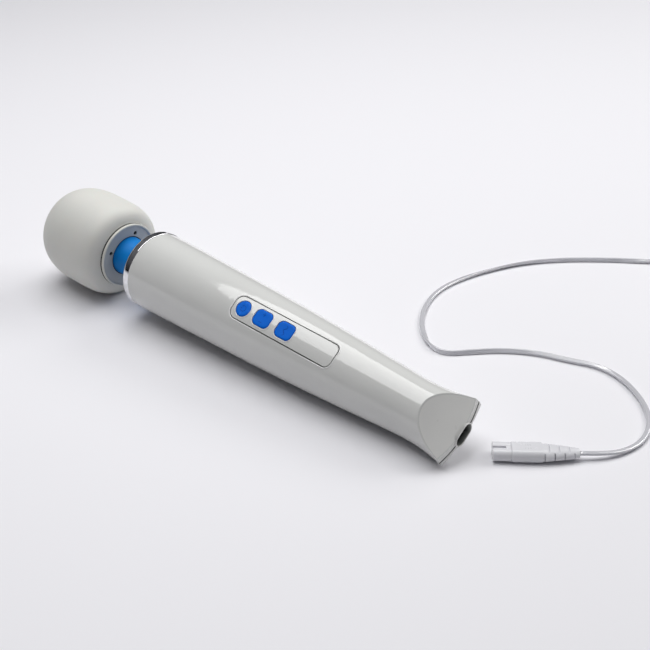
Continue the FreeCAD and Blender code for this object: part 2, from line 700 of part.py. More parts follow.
def build_buttons():
    for name, at in BUTTONS:
        place = getattr(s, at).value
        cap = button_form(f"{name}_cap", place, 0, -4.2, s.button_proud)
        flange = button_form(f"{name}_flange", place, 0, -5.2, -4.2, 0.9)
        stem = doc.addObject("Part::Cylinder", f"{name}_stem")
        bind(stem, Radius=1.5, Height=2.0)
        stem.Placement = button_frame(place) * Placement(Vector(0, 0, -7.0), Rotation())
        pressed = fuse(f"{name}_form", cap, flange, stem)
        doc.recompute()
        top = s.button_proud.value
        rim = []
        frame = button_frame(place)
        normal = frame.Rotation.multVec(Vector(0, 0, 1))
        for number, edge in enumerate(pressed.Shape.Edges, start=1):
            heights = [(vertex.Point - frame.Base).dot(normal) for vertex in edge.Vertexes]
            if all(abs(height - top) < 1e-3 for height in heights):
                rim.append((number, s.button_edge.value, s.button_edge.value))
        rounded = doc.addObject("Part::Fillet", f"{name}_button")
        rounded.Base = pressed
        rounded.Edges = rim
        node(rounded, f"{name}_button")


# ---------------------------------------------------------------- motor, battery, electronics
def build_motor():
    start = s.motor_start
    end = s.motor_start + s.motor_length
    radius = s.motor_radius
    wall = s.motor_wall
    bore = s.shaft_radius + s.running_gap
    node(turned("motor_can", [
        (start, bore), (start, radius), (end, radius), (end, bore), (end - wall, bore),
        (end - wall, radius - wall), (start + wall, radius - wall), (start + wall, bore)]), "motor_can")
    node(turned("motor_armature", [
        (start + 8, s.shaft_radius), (start + 8, s.armature_radius), (start + 32, s.armature_radius),
        (start + 32, 5.0), (start + 39, 5.0), (start + 39, s.shaft_radius)]), "motor_armature")
    node(turned("motor_shaft", [
        (82.0, 0), (82.0, s.spring_radius), (85.0, s.spring_radius), (85.0, s.hub_radius),
        (93.0, s.hub_radius), (93.0, s.shaft_radius), (end + 1.2, s.shaft_radius), (end + 1.2, 0)]),
        "motor_shaft")
    rings = []
    for name, offset in (("front", 4.0), ("rear", 35.0)):
        ring = turned(f"cradle_{name}", [(start + offset, radius), (start + offset, 21.0),
                                         (start + offset + 4, 21.0), (start + offset + 4, radius)])
        rings.append(ring)
    node(group("motor_cradle", *rings), "motor_cradle")


def build_battery():
    spread = s.cell_radius + 0.15
    cells = [rod(f"cell_{side}", s.cell_start, spread * side, s.cell_height, s.cell_radius, s.cell_length)
             for side in (-1, 1)]
    node(group("battery_cells", *cells), "battery_cells")
    ends = []
    for name, x in (("front", s.cell_start - 1.6), ("rear", s.cell_start + s.cell_length + 0.1)):
        ends.append(brick(f"holder_{name}", x, -9.5, s.cell_height - 8, 1.5, 19, 16))
    node(group("battery_holder", *ends), "battery_holder")


def build_board():
    blank = brick("board_blank", s.board_start, s.board_width / -2, s.board_height,
                  s.board_end - s.board_start, s.board_width, s.board_thickness)
    node(group("circuit_board", blank), "circuit_board")
    top = s.board_height + s.board_thickness
    switches = []
    for name, at in BUTTONS:
        x = getattr(s, at)
        case = brick(f"{name}_switch_case", x - 3, -3, top, 6, 6, s.switch_height - 0.6)
        plunger = rod(f"{name}_switch_plunger", x, 0, top, 1.4, s.switch_height, Rotation())
        switches.append(fuse(f"{name}_switch", case, plunger))
    node(group("tact_switches", *switches), "tact_switches")
    lamps = [brick(f"lamp_{index}", s.pattern_at + 12 + 4.4 * index, -0.8, top, 1.6, 1.6, 0.9)
             for index in range(5)]
    node(group("indicator_lamps", *lamps), "indicator_lamps")
    under = s.board_height
    chips = [brick("driver_chip", 222, -7, under - 1.5, 8, 8, 1.5),
             brick("charger_chip", 236, -4, under - 1.2, 6, 6, 1.2),
             rod("capacitor", 226, 6, under - 3.1, 3.0, 14)]
    node(group("board_parts", *chips), "board_parts")


def build_inlet():
    reach = s.inlet_mouth - s.inlet_back
    shroud = stadium("inlet_shroud", s.inlet_back, s.inlet_height, s.inlet_width + s.inlet_wall * 2,
                     s.inlet_tall + s.inlet_wall * 2, reach)
    hole = stadium("inlet_hole", s.inlet_floor, s.inlet_height, s.inlet_width, s.inlet_tall, reach)
    pins = []
    pin_holes = []
    for side in (-1, 1):
        y = s.pin_spacing / 2 * side
        length = s.pin_end - s.pin_start
        pins.append(rod(f"inlet_pin_{side}", s.pin_start, y, s.inlet_height, s.pin_radius, length))
        pin_holes.append(rod(f"inlet_bore_{side}", s.pin_start, y, s.inlet_height, s.pin_radius, length))
    node(cut("inlet_socket", shroud, hole, *pin_holes), "inlet_socket")
    node(group("inlet_pins", *pins), "inlet_pins")
    wires = []
    for side in (-1, 1):
        route = [(s.inlet_back.value - 0.05, 3.2 * side, s.inlet_height.value), (288, 3.0 * side, -1.0),
                 (270, 2.6 * side, 2.0), (256, 2.4 * side, 7.4), (251.5, 2.4 * side, 8.4)]
        wires.append(tube(f"inlet_wire_{side}", route, 0.6))
    node(group("inlet_wires", *wires), "inlet_wires")


# ---------------------------------------------------------------- charging lead
def build_connector():
    radius = s.insert_tall / 2
    lobe = (s.insert_width - s.insert_tall) / 2
    lobes = [rod(f"insert_lobe_{side}", 0, lobe * side, 0, radius, s.insert_length) for side in (-1, 1)]
    web = brick("insert_web", 0, lobe * -1, radius * -0.86, s.insert_length, lobe * 2, radius * 1.72)
    bores = [rod(f"insert_bore_{side}", -1, lobe * side, 0, s.bore_radius, s.bore_depth + 1)
             for side in (-1, 1)]
    slots = [brick(f"insert_slot_{name}", -1, s.waist_slot * -0.5, height, 8, s.waist_slot, 5)
             for name, height in (("over", 1.2), ("under", -6.2))]
    insert = cut("connector_insert", fuse("insert_form", web, *lobes), *bores, *slots)
    node(insert, "connector_insert", lead_place)

    shell = stadium("connector_shell_form", s.insert_length, 0, s.shell_width, s.shell_tall,
                    s.shell_length)
    doc.recompute()
    rims = [(number, 0.9, 0.9) for number, edge in enumerate(shell.Shape.Edges, start=1)
            if abs(edge.BoundBox.XMax - s.insert_length.value) < 1e-3]
    rounded = doc.addObject("Part::Fillet", "connector_shell")
    rounded.Base = shell
    rounded.Edges = rims
    node(rounded, "connector_shell", lead_place)

    start = s.insert_length.value + s.shell_length.value
    rings = []
    for number, (x, width, tall) in enumerate([
            (start, s.shell_width.value, s.shell_tall.value),
            (start + s.relief_length.value * 0.5, 11.0, 6.2),
            (start + s.relief_length.value, s.relief_width.value, s.relief_tall.value)]):
        ring = doc.addObject("Part::Ellipse", f"relief_ring_{number}")
        ring.Placement = Placement(Vector(x, 0, 0), SECTION)
        bind(ring, MajorRadius=width / 2, MinorRadius=tall / 2)
        rings.append(ring)
    taper = doc.addObject("Part::Loft", "relief_taper")
    taper.Sections = rings
    taper.Solid = True
    node(cut("connector_relief", taper, *relief_notches(start)), "connector_relief", lead_place)


def relief_notches(start):
    """Slits cut in turn from both sides and from the top and bottom, shallower towards the cord."""
    notches = []
    wide = 20
    for index in range(4):
        x = start + s.notch_start.value + s.notch_pitch.value * index
        share = (x - start) / s.relief_length.value
        half_width = (s.shell_width.value * (1 - share) + s.relief_width.value * share) / 2
        half_tall = (s.shell_tall.value * (1 - share) + s.relief_tall.value * share) / 2
        side = 0.73 * half_width
        level = 0.70 * half_tall
        slit = s.notch_width.value
        notches.append(brick(f"near_notch_{index}", x, -side - wide, -wide / 2, slit, wide, wide))
        notches.append(brick(f"far_notch_{index}", x, side, -wide / 2, slit, wide, wide))
        if index < 3:
            x += s.notch_shift.value
            notches.append(brick(f"top_notch_{index}", x, -wide / 2, level, slit, wide, wide))
            notches.append(brick(f"low_notch_{index}", x, -wide / 2, -level - wide, slit, wide, wide))
    return notches


def build_lead():
    node(tube("lead_cord", LEAD_ROUTE, s.cord_radius.value), "lead_cord", Placement())
    node(tube("lead_tail", TAIL_ROUTE, s.cord_radius.value), "lead_tail", Placement())
    outer = doc.addObject("Part::Cylinder", "coil_outer")
    bind(outer, Radius=s.coil_outer, Height=s.coil_tall)
    inner = doc.addObject("Part::Cylinder", "coil_inner")
    bind(inner, Radius=s.coil_inner, Height=s.coil_tall)
    node(cut("lead_coil", outer, inner), "lead_coil", Placement(Vector(s.coil_x.value, s.coil_y.value, 0),
                                                                  Rotation()))


def build_adapter():
    middle = s.adapter_tall / 2
    relief = doc.addObject("Part::Cone", "adapter_relief_cone")
    relief.Placement.Rotation = ALONG_X
    move(relief, 0, 0, middle)
    bind(relief, Radius1=2.4, Radius2=4.0, Height=s.adapter_relief)
    node(group("adapter_relief", relief), "adapter_relief", adapter_place)
    case = block("adapter_case", s.adapter_length, s.adapter_width, 0, s.adapter_tall, 4.0)
    fillet(case, edges_at(case.Shape, s.adapter_tall.value), 1.5)
    centre = Vector(s.adapter_relief.value + s.adapter_length.value / 2, 0, 0)
    node(case, "adapter_case", adapter_place * Placement(centre, Rotation()))
    end = s.adapter_relief + s.adapter_length
    blades = [brick(f"blade_{side}", end, 6.35 * side - 0.75, middle - 3.2, 16, 1.5, 6.4)
              for side in (-1, 1)]
    node(group("adapter_blades", *blades), "adapter_blades", adapter_place)


build_head_cap()
build_head_housing()
build_head_back_plate()
build_head_screws()
build_head_bearings()
build_eccentric()
build_neck()
build_collar()
build_casing()
build_shell_screws()
build_panel()
build_buttons()
build_motor()
build_battery()
build_board()
build_inlet()
build_connector()
build_lead()
build_adapter()
doc.recompute()

# ---------------------------------------------------------------- checks and export
for thing in doc.Objects:
    if "Invalid" in thing.State or "Error" in thing.State:
        raise RuntimeError(f"{thing.Name} failed: {thing.State}")
for thing in NODES:
    if thing.Shape.isNull() or not thing.Shape.isValid():
        raise RuntimeError(f"{thing.Label} has no valid shape")

os.makedirs("parts", exist_ok=True)
wand_box = FreeCAD.BoundBox()
for thing in NODES:
    thing.Shape.exportStep(f"parts/{thing.Label}.step")
    if not thing.Label.startswith(("lead_", "connector_", "adapter_")):
        wand_box.add(thing.Shape.optimalBoundingBox(False))
print("wand box", [round(value, 2) for value in (
    wand_box.XMin, wand_box.XMax, wand_box.YMin, wand_box.YMax, wand_box.ZMin, wand_box.ZMax)])
print(len(NODES), "nodes")
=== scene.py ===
import json
import math
import bmesh
import bpy
from mathutils import Matrix, Vector
from mathutils.bvhtree import BVHTree


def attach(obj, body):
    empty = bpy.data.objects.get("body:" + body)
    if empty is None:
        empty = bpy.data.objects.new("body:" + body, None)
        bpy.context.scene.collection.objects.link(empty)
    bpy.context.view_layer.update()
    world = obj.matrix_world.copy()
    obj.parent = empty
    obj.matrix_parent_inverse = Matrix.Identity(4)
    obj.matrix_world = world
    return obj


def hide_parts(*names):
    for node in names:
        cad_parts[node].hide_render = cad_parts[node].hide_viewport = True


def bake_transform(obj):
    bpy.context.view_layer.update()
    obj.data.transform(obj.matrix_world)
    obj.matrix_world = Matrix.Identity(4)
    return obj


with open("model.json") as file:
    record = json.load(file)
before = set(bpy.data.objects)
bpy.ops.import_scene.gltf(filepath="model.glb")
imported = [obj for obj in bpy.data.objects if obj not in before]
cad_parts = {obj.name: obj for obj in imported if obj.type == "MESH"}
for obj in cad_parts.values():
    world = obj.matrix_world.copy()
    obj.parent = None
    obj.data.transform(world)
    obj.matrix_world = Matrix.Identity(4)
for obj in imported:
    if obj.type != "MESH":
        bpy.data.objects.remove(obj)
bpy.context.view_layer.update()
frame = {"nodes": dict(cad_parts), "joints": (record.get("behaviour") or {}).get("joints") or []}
MM = 0.001

# ---------------------------------------------------------------- the wand's own frame
# +X from the front of the head to the tail, +Z out of the buttons, as it lies on the table.
joints = {joint["name"]: joint for joint in frame["joints"]}
ALONG = Vector(joints["motor_spin"]["axis"]).normalized()
ACROSS = Vector(joints["head_pitch"]["axis"]).normalized()
OUT = Vector(joints["head_yaw"]["axis"]).normalized()
NECK_AT = 74.5  # the neck's bending centre, in millimetres behind the head's front
TIP = Vector(joints["head_pitch"]["pos_m"]) - ALONG * NECK_AT * MM
WAND = Matrix.Translation(TIP) @ Matrix((ALONG, ACROSS, OUT)).transposed().to_4x4()
INLET_MOUTH = 329.1
PANEL_SLOPE = math.radians(1.96)
PANEL_TURN = Matrix.Rotation(PANEL_SLOPE, 4, "Y")


def wand_point(x, y=0.0, z=0.0):
    """A point of the wand's own frame, in millimetres, as a point of the row frame."""
    return WAND @ (Vector((x, y, z)) * MM)


# ---------------------------------------------------------------- materials
FINE_DEPTH = 0.00002
DRIFT_SCALE = 30.0
# painted shade: how deep in the inlet its wall turns fully black
SOCKET_SHADE_DEPTH = 0.0035
SOCKET_GREY_DEPTH = 0.0003


def grey(value):
    """An opaque grey, as the colour ramps want it."""
    return (value,) * 3 + (1.0,)


def shader_nodes(name):
    material = bpy.data.materials.new(name)
    material.use_nodes = True
    tree = material.node_tree
    return material, tree, tree.nodes["Principled BSDF"]


def set_inputs(shader, **values):
    for name, value in values.items():
        shader.inputs[name.replace("_", " ")].default_value = value


def object_noise(tree, scale, detail):
    where = tree.nodes.new("ShaderNodeTexCoord")
    noise = tree.nodes.new("ShaderNodeTexNoise")
    noise.inputs["Scale"].default_value = scale
    noise.inputs["Detail"].default_value = detail
    noise.inputs["Roughness"].default_value = 0.55
    tree.links.new(where.outputs["Object"], noise.inputs["Vector"])
    return noise


def ramp_between(tree, source, low, high, start=0.35, end=0.65):
    ramp = tree.nodes.new("ShaderNodeValToRGB")
    ramp.color_ramp.elements[0].position = start
    ramp.color_ramp.elements[1].position = end
    ramp.color_ramp.elements[0].color = low
    ramp.color_ramp.elements[1].color = high
    tree.links.new(source.outputs["Fac"], ramp.inputs["Fac"])
    return ramp


def bump_from(tree, shader, source, strength):
    bump = tree.nodes.new("ShaderNodeBump")
    bump.inputs["Strength"].default_value = strength
    bump.inputs["Distance"].default_value = FINE_DEPTH
    tree.links.new(source.outputs["Fac"], bump.inputs["Height"])
    tree.links.new(bump.outputs["Normal"], shader.inputs["Normal"])


def moulded(name, color, shift, roughness, rough_shift, grain=900.0, grain_strength=0.25,
            **extra):
    """Moulded plastic or rubber: slight colour drift, uneven gloss and a fine surface grain."""
    material, tree, shader = shader_nodes(name)
    low = tuple(max(0.0, channel * (1 - shift)) for channel in color) + (1.0,)
    high = tuple(min(1.0, channel * (1 + shift)) for channel in color) + (1.0,)
    drift = object_noise(tree, DRIFT_SCALE, 4.0)
    color_ramp = ramp_between(tree, drift, low, high)
    tree.links.new(color_ramp.outputs["Color"], shader.inputs["Base Color"])
    wear = object_noise(tree, DRIFT_SCALE * 6, 5.0)
    dull = roughness + rough_shift
    sheen = max(0.02, roughness - rough_shift)
    rough_ramp = ramp_between(tree, wear, grey(sheen), grey(dull), 0.3, 0.7)
    tree.links.new(rough_ramp.outputs["Color"], shader.inputs["Roughness"])
    fine = object_noise(tree, grain, 2.0)
    bump_from(tree, shader, fine, grain_strength)
    set_inputs(shader, **extra)
    return material


def brushed(name, color, roughness, grain=1500.0):
    """Metal with a slight variation in colour and gloss."""
    material, tree, shader = shader_nodes(name)
    low = tuple(channel * 0.88 for channel in color) + (1.0,)
    high = tuple(min(1.0, channel * 1.06) for channel in color) + (1.0,)
    lines = object_noise(tree, grain, 2.0)
    ramp = ramp_between(tree, lines, low, high)
    tree.links.new(ramp.outputs["Color"], shader.inputs["Base Color"])
    rough = ramp_between(tree, lines, grey(roughness * 0.8), grey(roughness * 1.25))
    tree.links.new(rough.outputs["Color"], shader.inputs["Roughness"])
    bump_from(tree, shader, lines, 0.15)
    set_inputs(shader, Metallic=1.0)
    return material


def socket_with_painted_shade(name):
    """The inlet's wall: its own satin grey at its mouth, darkened to black in its depth as painted
    shade.
    """
    material, tree, shader = shader_nodes(name)
    where = tree.nodes.new("ShaderNodeTexCoord")
    depth = tree.nodes.new("ShaderNodeVectorMath")
    depth.operation = "DOT_PRODUCT"
    depth.inputs[1].default_value = ALONG
    tree.links.new(where.outputs["Object"], depth.inputs[0])
    spread = tree.nodes.new("ShaderNodeMapRange")
    mouth = wand_point(INLET_MOUTH).dot(ALONG)
    spread.inputs["From Min"].default_value = mouth - SOCKET_SHADE_DEPTH
    spread.inputs["From Max"].default_value = mouth - SOCKET_GREY_DEPTH
    tree.links.new(depth.outputs["Value"], spread.inputs["Value"])
    ramp = tree.nodes.new("ShaderNodeValToRGB")
    # painted shade: near black deep in the socket, its own satin grey at the mouth
    ramp.color_ramp.elements[0].color = (0.004, 0.004, 0.004, 1)
    ramp.color_ramp.elements[1].color = (0.42, 0.44, 0.42, 1)
    tree.links.new(spread.outputs["Result"], ramp.inputs["Fac"])
    tree.links.new(ramp.outputs["Color"], shader.inputs["Base Color"])
    grain = object_noise(tree, 1800.0, 2.0)
    bump_from(tree, shader, grain, 0.2)
    set_inputs(shader, Roughness=0.45)
    return material


SILICONE = moulded("silicone", (0.70, 0.70, 0.66), 0.012, 0.55, 0.05, grain=1400.0,
                   grain_strength=0.2, Subsurface_Weight=0.05, Subsurface_Scale=0.003)
CASING = moulded("casing_gloss", (0.71, 0.715, 0.695), 0.01, 0.07, 0.015, grain=500.0,
                 grain_strength=0.03, Coat_Weight=0.35, Coat_Roughness=0.04, IOR=1.5)
# a lighter copy of the casing's white: painted highlight on the lines round the openings
EDGE_HIGHLIGHT = moulded("casing_edge_painted_highlight", (0.86, 0.86, 0.85), 0.01, 0.16, 0.02, grain=500.0,
               Coat_Weight=0.4)
RIM = moulded("plate_rim_cream", (0.66, 0.66, 0.61), 0.02, 0.35, 0.05, grain=1200.0)
PLATE = moulded("back_plate_satin", (0.45, 0.47, 0.465), 0.03, 0.36, 0.05, grain=1200.0)
FACET = moulded("tail_facet_satin", (0.78, 0.78, 0.755), 0.015, 0.32, 0.05, grain=2200.0,
                grain_strength=0.3)
SOCKET = socket_with_painted_shade("inlet_socket_painted_shade")
NECK = moulded("neck_blue", (0.0, 0.19, 0.58), 0.05, 0.42, 0.05, grain=1200.0,
               Specular_IOR_Level=0.25)
BUTTON = moulded("button_blue", (0.0, 0.15, 0.74), 0.04, 0.45, 0.04, grain=1200.0,
                 Specular_IOR_Level=0.12)
SYMBOL = moulded("symbol_engraved", (0.0, 0.07, 0.40), 0.08, 0.5, 0.05, Specular_IOR_Level=0.1)
# the real seal's and wires' dark, also used as painted shade for the dark rings and line in gaps
SEAL_AND_SHADE = moulded("seal_and_painted_shade", (0.035, 0.033, 0.032), 0.1, 0.6, 0.08)
BLACK = moulded("black_plastic", (0.018, 0.019, 0.020), 0.15, 0.42, 0.08)
NYLON = moulded("nylon", (0.72, 0.70, 0.62), 0.04, 0.45, 0.06)
CHROME = brushed("chrome", (0.86, 0.86, 0.88), 0.03, 300.0)
STEEL = brushed("steel", (0.55, 0.55, 0.56), 0.30)
COPPER = brushed("copper", (0.72, 0.38, 0.20), 0.35)
BRASS = brushed("plated_contact", (0.80, 0.66, 0.34), 0.22)
WRAP = moulded("cell_wrap", (0.06, 0.30, 0.38), 0.08, 0.3, 0.05)
BOARD = moulded("board_green", (0.02, 0.16, 0.06), 0.2, 0.35, 0.05)
LAMP = moulded("lamp_lens", (0.75, 0.78, 0.80), 0.05, 0.2, 0.03)
LEAD = moulded("lead_white", (0.76, 0.76, 0.79), 0.03, 0.24, 0.05, grain=700.0, Coat_Weight=0.2)
CORD = moulded("cord_vinyl", (0.66, 0.66, 0.70), 0.04, 0.18, 0.05, grain=900.0, Coat_Weight=0.4,
               Transmission_Weight=0.2)
ADAPTER = moulded("adapter_white", (0.76, 0.76, 0.76), 0.02, 0.45, 0.06, grain=2500.0,
                  grain_strength=0.5)

NODE_MATERIALS = {
    "front_shell": CASING, "rear_shell": CASING, "control_panel": CASING, "tail_plate": FACET,
    "panel_seal": SEAL_AND_SHADE, "chrome_collar": CHROME, "neck_mount": NYLON, "motor_can": STEEL,
    "motor_cradle": BLACK, "battery_cells": WRAP, "battery_holder": BLACK, "circuit_board": BOARD,
    "tact_switches": BLACK, "indicator_lamps": LAMP, "board_parts": BLACK, "inlet_socket": SOCKET,
    "inlet_pins": BRASS, "inlet_wires": SEAL_AND_SHADE, "shell_screws": STEEL, "connector_insert": LEAD,
    "connector_shell": LEAD, "connector_relief": LEAD, "adapter_case": ADAPTER,
    "adapter_blades": BRASS, "adapter_relief": LEAD, "motor_armature": COPPER,
    "motor_shaft": STEEL, "drive_spring": STEEL, "neck_core": NYLON, "head_housing": NYLON,
    "head_back_plate": PLATE, "head_screws": BLACK, "head_bearings": STEEL,
    "eccentric_shaft": STEEL, "eccentric_weight": STEEL, "power_button": BUTTON,
    "level_button": BUTTON, "pattern_button": BUTTON, "head_cap": SILICONE, "neck_sleeve": NECK,
    "lead_cord": LEAD, "lead_coil": LEAD, "lead_tail": LEAD,
}
for name, material in NODE_MATERIALS.items():
    mesh = frame["nodes"][name].data
    mesh.materials.clear()
    mesh.materials.append(material)


# ---------------------------------------------------------------- mesh helpers
def new_piece(name, mesh, material, smooth=True):
    mesh.materials.append(material)
    for polygon in mesh.polygons:
        polygon.use_smooth = smooth
    piece = bpy.data.objects.new(name, mesh)
    bpy.context.scene.collection.objects.link(piece)
    return piece


def mesh_from(name, vertices, faces):
    mesh = bpy.data.meshes.new(name)
    mesh.from_pydata([tuple(vertex) for vertex in vertices], [], faces)
    mesh.update()
    return mesh


def lathe(name, profile, material, steps=144):
    """A closed skin turned about the wand's axis from (along, radius) points in millimetres."""
    vertices = []
    faces = []
    for along, radius in profile:
        for step in range(steps):
            angle = 2 * math.pi * step / steps
            vertices.append(wand_point(along, radius * math.sin(angle), radius * math.cos(angle)))
    for ring in range(len(profile) - 1):
        for step in range(steps):
            following = (step + 1) % steps
            faces.append((ring * steps + step, (ring + 1) * steps + step,
                          (ring + 1) * steps + following, ring * steps + following))
    mesh = mesh_from(name, vertices, faces)
    tidy = bmesh.new()
    tidy.from_mesh(mesh)
    bmesh.ops.remove_doubles(tidy, verts=tidy.verts, dist=1e-7)
    bmesh.ops.recalc_face_normals(tidy, faces=tidy.faces)
    tidy.to_mesh(mesh)
    tidy.free()
    return new_piece(name, mesh, material)


def band_faces(ring, next_ring, count):
    """The faces between two rings of points, given by their places in a list of rings."""
    faces = []
    for step in range(count):
        following = (step + 1) % count
        faces.append((ring * count + step, ring * count + following,
                      next_ring * count + following, next_ring * count + step))
    return faces


def round_line(name, places, radius, material, body, resolution=None, closed=False):
    """A thin round line through points of the row frame, its radius in millimetres."""
    curve = bpy.data.curves.new(name, "CURVE")
    curve.dimensions = "3D"
    spline = curve.splines.new("POLY")
    spline.points.add(len(places) - 1)
    for point, place in zip(spline.points, places):
        point.co = (*place, 1)
    spline.use_cyclic_u = closed
    curve.bevel_depth = radius * MM
    if resolution is not None:
        curve.bevel_resolution = resolution
    curve.materials.append(material)
    line = bpy.data.objects.new(name, curve)
    bpy.context.scene.collection.objects.link(line)
    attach(line, body)


def arc_points(centre, radius, start, end, count):
    """Points of an arc in the (along, radius) plane, angles in degrees from +along."""
    points = []
    for step in range(count + 1):
        angle = math.radians(start + (end - start) * step / count)
        points.append((centre[0] + radius * math.cos(angle), centre[1] + radius * math.sin(angle)))
    return points


# ---------------------------------------------------------------- head
NECK_START = 62.6
NECK_END = 92.0
NECK_RADIUS = 12.3
HEAD_RADIUS = 30.7
HEAD_WIDEST = 33.0
HEAD_BACK = 62.0
PLATE_RADIUS = 20.8
PLATE_FACE = 63.2
PLATE_TOP = 63.8
QUARTER_STEPS = 48
SHOULDER_STEPS = 36  # the shoulder stops before the quarter's end, at the plate's rim


def head_profile():
    """The cap's outline: a full dome in front, a squarer shoulder, then the back face's edge."""
    front_power = 2.75
    back_power = 5.1
    points = []
    for step in range(QUARTER_STEPS + 1):
        angle = math.pi / 2 * step / QUARTER_STEPS
        points.append((HEAD_WIDEST - HEAD_WIDEST * math.cos(angle) ** (2 / front_power),
                       HEAD_RADIUS * math.sin(angle) ** (2 / front_power)))
    for step in range(1, SHOULDER_STEPS + 1):
        angle = math.pi / 2 * step / QUARTER_STEPS
        along = HEAD_WIDEST + (HEAD_BACK - HEAD_WIDEST) * math.sin(angle) ** (2 / back_power)
        points.append((along, HEAD_RADIUS * math.cos(angle) ** (2 / back_power)))
    end = points[-1]
    points.append((end[0] + 0.15, PLATE_RADIUS + 0.2))
    points.append((end[0] - 0.1, PLATE_RADIUS + 0.06))
    points.append((58.2, PLATE_RADIUS + 0.05))
    return points


def build_head():
    """The silicone cap, the rim where the back plate sits in it, and dark rings painted as shade
    in the gaps round the rim and round the neck's base.
    """
    cap = lathe("head_silicone_cap", head_profile(), SILICONE)
    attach(cap, "head")
    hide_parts("head_cap")
    rim_outline = [(58.3, PLATE_RADIUS + 0.03)]
    rim_outline += arc_points((PLATE_TOP - 0.65, PLATE_RADIUS - 0.6), 0.68, 90, -60, 10)
    rim_outline += [(PLATE_FACE + 0.02, PLATE_RADIUS - 1.5),
                    (PLATE_FACE - 0.3, PLATE_RADIUS - 1.55)]
    rim = lathe("plate_rim_ring", rim_outline, RIM)
    # painted shade: a dark ring in the gap between the cap and the plate's rim
    cap_shade_outline = [(60.0, PLATE_RADIUS + 0.12), (PLATE_FACE - 1.0, PLATE_RADIUS + 0.2),
                     (PLATE_FACE - 0.9, PLATE_RADIUS + 0.06)]
    joint = lathe("cap_gap_painted_shade", cap_shade_outline, SEAL_AND_SHADE)
    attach(joint, "head")
    # painted shade: a dark ring in the recess round the neck's base
    gap_outline = [(PLATE_FACE - 0.55, NECK_RADIUS - 0.4), (PLATE_FACE - 0.35, NECK_RADIUS + 0.2),
                   (PLATE_FACE - 0.3, NECK_RADIUS + 0.5)]
    gap = lathe("neck_gap_painted_shade", gap_outline, SEAL_AND_SHADE)
    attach(rim, "head")
    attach(gap, "head")


# ---------------------------------------------------------------- neck and collar
COLLAR_FRONT = 85.0
COLLAR_RADIUS = 24.6
CASING_FRONT = 91.4
NECK_STEP = 0.5
NECK_FRONT_RINGS = 24
NECK_REAR_RINGS = 28


def build_collar():
    """The chrome ring, with a rolled front edge."""
    outline = [(COLLAR_FRONT + 3.4, 13.0), (COLLAR_FRONT + 0.8, 13.0), (COLLAR_FRONT + 0.1, 14.0)]
    outline += [(COLLAR_FRONT, 16.0), (COLLAR_FRONT, 20.0)]
    outline += arc_points((COLLAR_FRONT + 3.4, 21.2), 3.4, 180, 90, 20)
    outline += [(CASING_FRONT - 1.0, COLLAR_RADIUS)]
    outline += arc_points((CASING_FRONT - 0.5, COLLAR_RADIUS - 0.5), 0.5, 90, 0, 6)
    outline += [(CASING_FRONT, 22.4)]
    collar = lathe("chrome_collar_ring", outline, CHROME, steps=192)
    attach(collar, "handle")
    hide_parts("chrome_collar")


def neck_radius(along):
    """A sleeve that is slightly waisted between its two ends."""
    share = (along - NECK_START) / (NECK_END - NECK_START)
    return NECK_RADIUS - 1.0 * math.sin(math.pi * share) ** 1.4


def build_neck():
    """The sleeve in two halves that meet at the bending centre."""
    front = [(NECK_START, 10.5), (NECK_START, 11.9)]
    places = [NECK_START + 0.3 + NECK_STEP * step for step in range(NECK_FRONT_RINGS)]
    front += [(along, neck_radius(along)) for along in places]
    last = front[-1][0]
    rear = [(last + NECK_STEP * step, neck_radius(last + NECK_STEP * step))
            for step in range(NECK_REAR_RINGS)]
    rear += [(NECK_END - 2.2, 12.2), (NECK_END - 2.2, 14.6), (NECK_END, 14.6), (NECK_END, 10.5)]
    half_front = lathe("neck_sleeve_front", front, NECK)
    half_rear = lathe("neck_sleeve_rear", rear, NECK)
    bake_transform(half_front)
    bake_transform(half_rear)
    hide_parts("neck_sleeve")
    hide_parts("neck_sleeve")


# ---------------------------------------------------------------- control panel and buttons
PANEL_START = 174.0
PANEL_END = 249.0
PANEL_WIDTH = 13.9
PANEL_CORNER = 4.2
PANEL_GAP = 0.6
PANEL_MIDDLE = (PANEL_START + PANEL_END) / 2
BUTTON_LEVEL = 20.9
BUTTON_PROUD = 0.6
BUTTON_CLEARANCE = 0.25
EDGE_REACH = 0.7  # how far the lines painted lighter as highlight stand outside the openings
SYMBOL_RADIUS = 0.15
BUTTON_PLACES = {"power": 181.2, "level": 196.1, "pattern": 213.1}
BUTTON_SIZES = {"power": (9.5, 9.5, 4.75), "level": (11.9, 9.7, 3.2), "pattern": (11.9, 9.7, 3.2)}


def button_matrix(name):
    """A button's own frame: its origin on the panel's skin, +Z out of the panel."""
    at = BUTTON_PLACES[name]
    drop = (at - PANEL_MIDDLE) * math.tan(PANEL_SLOPE)
    return WAND @ Matrix.Translation(Vector((at, 0, BUTTON_LEVEL - drop)) * MM) @ PANEL_TURN


def rounded_outline(length, width, corner, per_corner=12):
    """A rounded rectangle about the origin, counterclockwise, in millimetres."""
    points = []
    for quarter, (sign_x, sign_y) in enumerate(((1, 1), (-1, 1), (-1, -1), (1, -1))):
        centre = (sign_x * (length / 2 - corner), sign_y * (width / 2 - corner))
        points += arc_points(centre, corner, 90 * quarter, 90 * quarter + 90, per_corner)
    return points


def outer_surface(*names):
    """A search tree of CAD nodes' skins, for laying thin details on them."""
    vertices = []
    polygons = []
    for name in names:
        mesh = frame["nodes"][name].data
        offset = len(vertices)
        vertices += [vertex.co.copy() for vertex in mesh.vertices]
        polygons += [[offset + index for index in polygon.vertices] for polygon in mesh.polygons]
    return BVHTree.FromPolygons(vertices, polygons)


def bead_on(name, tree, outline, middle, sink, radius, material):
    """A closed light line laid on a skin of the handle, from an outline about a place along it."""
    places = []
    for x, y in outline:
        start = wand_point(middle + x, y, 40)
        hit, _, _, _ = tree.ray_cast(start, -OUT)
        if hit is not None:
            places.append(hit - OUT * sink * MM)
    round_line(name, places, radius, material, "handle", resolution=3, closed=True)


